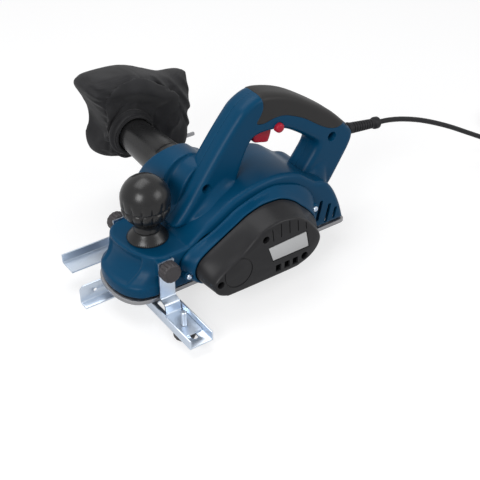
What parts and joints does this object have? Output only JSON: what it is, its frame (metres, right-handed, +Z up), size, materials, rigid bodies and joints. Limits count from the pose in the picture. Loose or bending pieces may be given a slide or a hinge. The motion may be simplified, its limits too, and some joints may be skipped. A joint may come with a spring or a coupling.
{
  "type": "electric hand planer",
  "caption": "Electric hand planer with belt-driven cutter drum, depth knob, arched rear handle, side guide, rebate depth stop, side dust bag and mains cord",
  "frame": {"origin": "On the sole face (z = 0), on the tool's long centre line, 14 mm behind the front edge of the rear sole", "axes": "+X runs from the depth knob to the cord, +Y to the chip outlet side, +Z up from the sole"},
  "size_m": [0.782, 0.326, 0.205],
  "materials": {
    "blue_housing": "moulded, satin to gloss, dark petrol blue",
    "black_plastic": "moulded, fine satin grain, near black",
    "grip_rubber": "soft over-moulding, matt, warm dark grey",
    "soft_rubber": "flexible, satin, black",
    "red_plastic": "moulded, glossy red",
    "label": "one neutral pale grey, nothing printed on it",
    "sole_alloy": "machined die-cast alloy, fine milling marks",
    "bright_zinc": "bright zinc-plated steel",
    "steel": "turned or ground steel",
    "copper_winding": "enamelled copper winding",
    "brass": "folded sheet brass",
    "carbon": "pressed carbon",
    "bag_cloth": "tightly woven dark cloth"
  },
  "bodies": {
    "housing": {"main_housing": "blue_housing", "drive_end_housing": "blue_housing", "belt_cover": "black_plastic", "cover_screw_1": "steel", "cover_screw_2": "steel", "rim_screw_1": "bright_zinc", "rim_screw_2": "bright_zinc", "label_plate": "label", "rear_sole": "sole_alloy", "drum_bearing_near": "steel", "drum_bearing_far": "steel", "stator": "copper_winding", "motor_bearing_near": "steel", "motor_bearing_far": "steel", "brush_holder_front": "brass", "brush_holder_rear": "brass", "brush_front": "carbon", "brush_rear": "carbon", "drive_belt": "soft_rubber", "handle_near": "blue_housing", "handle_far": "blue_housing", "grip_overmould": "grip_rubber", "handle_screw_1": "steel", "handle_screw_2": "steel", "switch_body": "black_plastic", "cable_clamp": "black_plastic", "guide_bracket": "bright_zinc", "strain_relief": "soft_rubber", "cord": "soft_rubber", "cord_coil": "soft_rubber", "plug": "soft_rubber"},
    "front_shoe": {"front_shoe": "sole_alloy", "spindle_spring": "steel"},
    "depth_knob": {"depth_knob": "black_plastic", "depth_dial": "black_plastic", "depth_spindle": "steel"},
    "trigger": {"trigger": "red_plastic"},
    "lock_button": {"lock_button": "red_plastic"},
    "cutter": {"cutter_drum": "sole_alloy", "blade_1": "steel", "blade_2": "steel", "blade_clamp_1": "steel", "blade_clamp_2": "steel", "drum_pulley": "steel"},
    "motor_rotor": {"armature": "steel", "commutator": "copper_winding", "motor_fan": "black_plastic", "motor_pulley": "steel"},
    "side_guide": {"guide_channel": "bright_zinc", "guide_fence": "bright_zinc"},
    "channel_clamp": {"clamp_stud": "bright_zinc", "clamp_knob": "black_plastic"},
    "guide_knob": {"guide_knob": "black_plastic"},
    "depth_stop": {"depth_stop": "bright_zinc"},
    "depth_stop_knob": {"depth_stop_knob": "black_plastic"},
    "bag_outlet": {"dust_tube": "black_plastic", "neck_elastic": "soft_rubber", "neck_hoop": "black_plastic", "dust_bag": "bag_cloth", "zip_pull": "steel"}
  },
  "joints": [
    {"name": "knob_turn", "type": "hinge", "parent": "housing", "child": "depth_knob", "pos_m": [-0.0915, 0, 0.075], "axis": [0, 0, 1], "range_deg": [0, 330]},
    {"name": "shoe_lift", "type": "slide", "parent": "housing", "child": "front_shoe", "axis": [0, 0, 1], "range_m": [0, 0.002], "deforming": ["spindle_spring"]},
    {"name": "trigger_pull", "type": "hinge", "parent": "housing", "child": "trigger", "pos_m": [0.042, 0, 0.138], "axis": [0, -1, 0], "range_deg": [0, 9], "stiffness_Nm_per_rad": 0.6},
    {"name": "lock_press", "type": "slide", "parent": "housing", "child": "lock_button", "axis": [0, 1, 0], "range_m": [0, 0.004], "stiffness_N_per_m": 500},
    {"name": "motor_spin", "type": "hinge", "parent": "housing", "child": "motor_rotor", "pos_m": [0.04, 0, 0.044], "axis": [0, 1, 0], "continuous": true},
    {"name": "drum_spin", "type": "hinge", "parent": "housing", "child": "cutter", "pos_m": [-0.036, 0, 0.0285], "axis": [0, 1, 0], "continuous": true},
    {"name": "guide_slide", "type": "slide", "parent": "housing", "child": "side_guide", "axis": [0, 1, 0], "range_m": [-0.046, 0.019]},
    {"name": "channel_clamp_turn", "type": "hinge", "parent": "housing", "child": "channel_clamp", "pos_m": [-0.1, -0.082, -0.019], "axis": [0, 0, 1], "range_deg": [-180, 180]},
    {"name": "guide_knob_turn", "type": "hinge", "parent": "housing", "child": "guide_knob", "pos_m": [-0.098, -0.055, 0.041], "axis": [0, 1, 0], "range_deg": [-180, 180]},
    {"name": "stop_knob_turn", "type": "hinge", "parent": "housing", "child": "depth_stop_knob", "pos_m": [-0.098, 0.055, 0.041], "axis": [0, 1, 0], "range_deg": [-180, 180]},
    {"name": "stop_slide", "type": "slide", "parent": "housing", "child": "depth_stop", "axis": [0, 0, 1], "range_m": [0, 0.02]},
    {"name": "bag_swivel", "type": "hinge", "parent": "housing", "child": "bag_outlet", "pos_m": [-0.03, 0.09, 0.092], "axis": [0, 1, 0], "range_deg": [-30, 30]}
  ],
  "couplings": [
    {"joint": "knob_turn", "follows": "shoe_lift", "rad_per_m": 2879},
    {"joint": "drum_spin", "follows": "motor_spin", "ratio": 0.62069}
  ]
}
